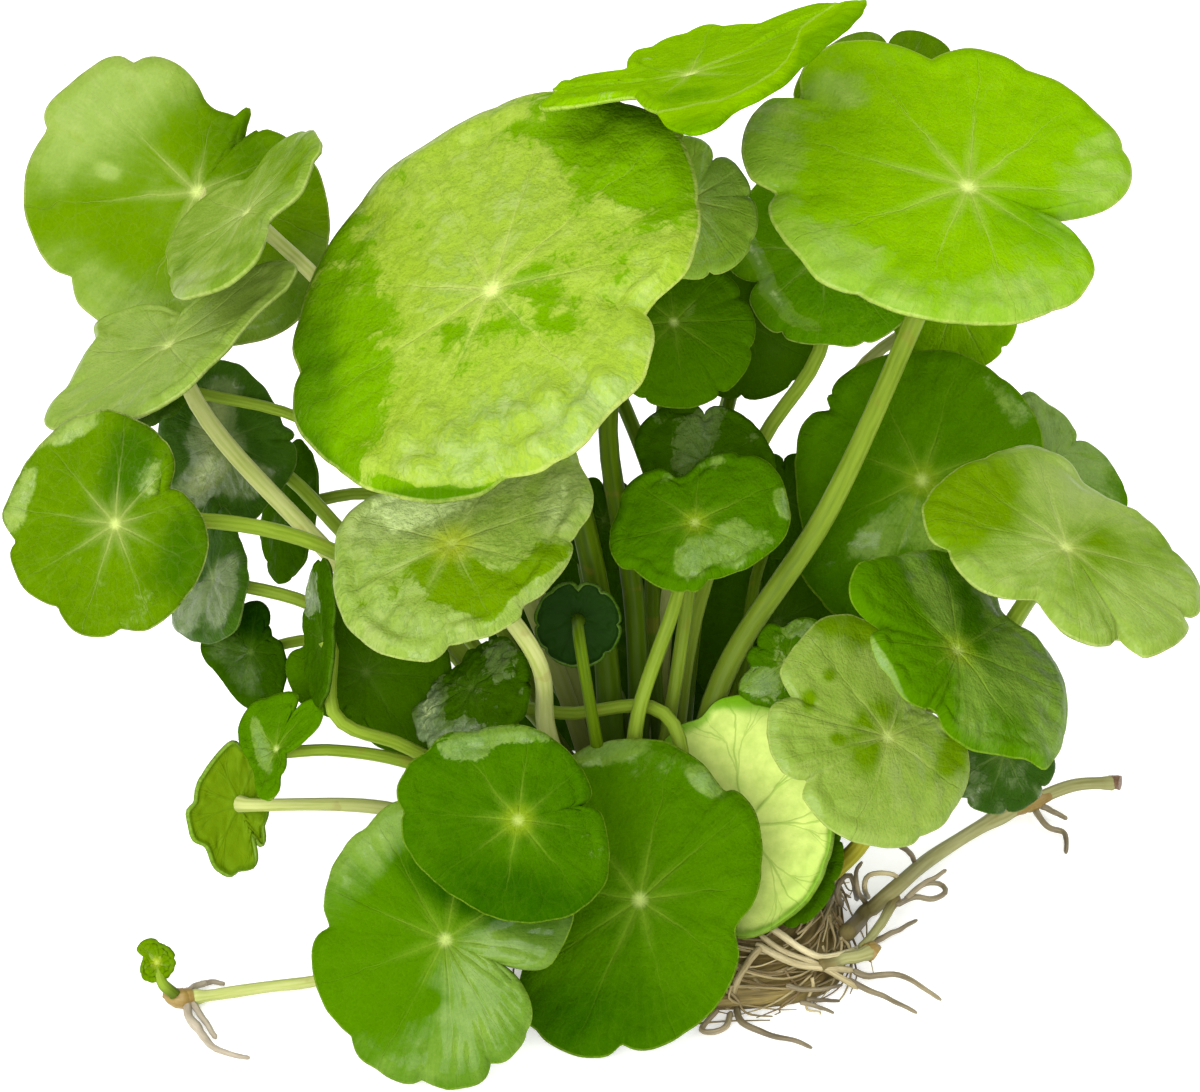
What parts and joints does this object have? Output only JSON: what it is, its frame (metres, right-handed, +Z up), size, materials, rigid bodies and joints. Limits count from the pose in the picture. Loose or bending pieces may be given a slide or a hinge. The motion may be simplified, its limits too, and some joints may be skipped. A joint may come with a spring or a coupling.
{
  "type": "whorled pennywort",
  "caption": "Clump of round, notched, glossy green leaves on long stalks that fan out of a fibrous root mat, with runners that trail to both sides.",
  "frame": {"origin": "centre of the clump's outline, on the surface it rests on", "axes": "+Z up, +X to the right and +Y away from someone who looks at the clump as in the picture"},
  "size_m": [0.1092, 0.0867, 0.0814],
  "materials": {
    "leaf_green": "glossy fresh leaf, upper side",
    "leaf_dark": "glossy fresh leaf in deep shade",
    "leaf_pale": "pale underside of a leaf",
    "runner_green": "smooth pale green runner",
    "root_brown": "fibrous brown root mass"
  },
  "bodies": {
    "root": {"leaf_backlit": "leaf_green", "leaf_crown_back": "leaf_green", "leaf_crown_large": "leaf_green", "leaf_crown_mid": "leaf_pale", "leaf_crown_right": "leaf_green", "leaf_crown_shade": "leaf_dark", "leaf_crown_top": "leaf_green", "leaf_front_left": "leaf_green", "leaf_front_mid": "leaf_green", "leaf_front_small": "leaf_green", "leaf_heart_back": "leaf_dark", "leaf_heart_dark": "leaf_dark", "leaf_left_broad": "leaf_dark", "leaf_left_edge": "leaf_dark", "leaf_left_hang": "leaf_dark", "leaf_left_high": "leaf_green", "leaf_left_long": "leaf_green", "leaf_left_low": "leaf_dark", "leaf_left_narrow": "leaf_green", "leaf_left_round": "leaf_green", "leaf_left_shade": "leaf_dark", "leaf_left_sliver": "leaf_dark", "leaf_left_veiled": "leaf_dark", "leaf_mid_back": "leaf_dark", "leaf_mid_folded": "leaf_dark", "leaf_mid_front": "leaf_green", "leaf_mid_left": "leaf_green", "leaf_mid_shade": "leaf_dark", "leaf_mid_small": "leaf_dark", "leaf_neck_back": "leaf_dark", "leaf_neck_front": "leaf_dark", "leaf_pale_under": "leaf_pale", "leaf_rear_high": "leaf_green", "leaf_rear_left": "leaf_green", "leaf_rear_low": "leaf_dark", "leaf_rear_right": "leaf_green", "leaf_right_back": "leaf_green", "leaf_right_broad": "leaf_dark", "leaf_right_front": "leaf_green", "leaf_right_high": "leaf_green", "leaf_right_low": "leaf_dark", "leaf_right_mid": "leaf_green", "leaf_right_small": "leaf_green", "leaf_runner_tip": "leaf_green", "leaf_trail_under": "leaf_dark", "leaf_trail_wet": "leaf_green", "leaf_under_right": "leaf_dark", "root_front_curl": "root_brown", "root_front_long": "root_brown", "root_mat": "root_brown", "root_right_high": "root_brown", "root_right_long": "root_brown", "root_right_low": "root_brown", "root_runner_side": "root_brown", "root_runner_tip": "root_brown", "root_stolon_drop": "root_brown", "root_stolon_side": "root_brown", "runner_left": "runner_green", "stolon_right": "runner_green"}
  },
  "joints": []
}
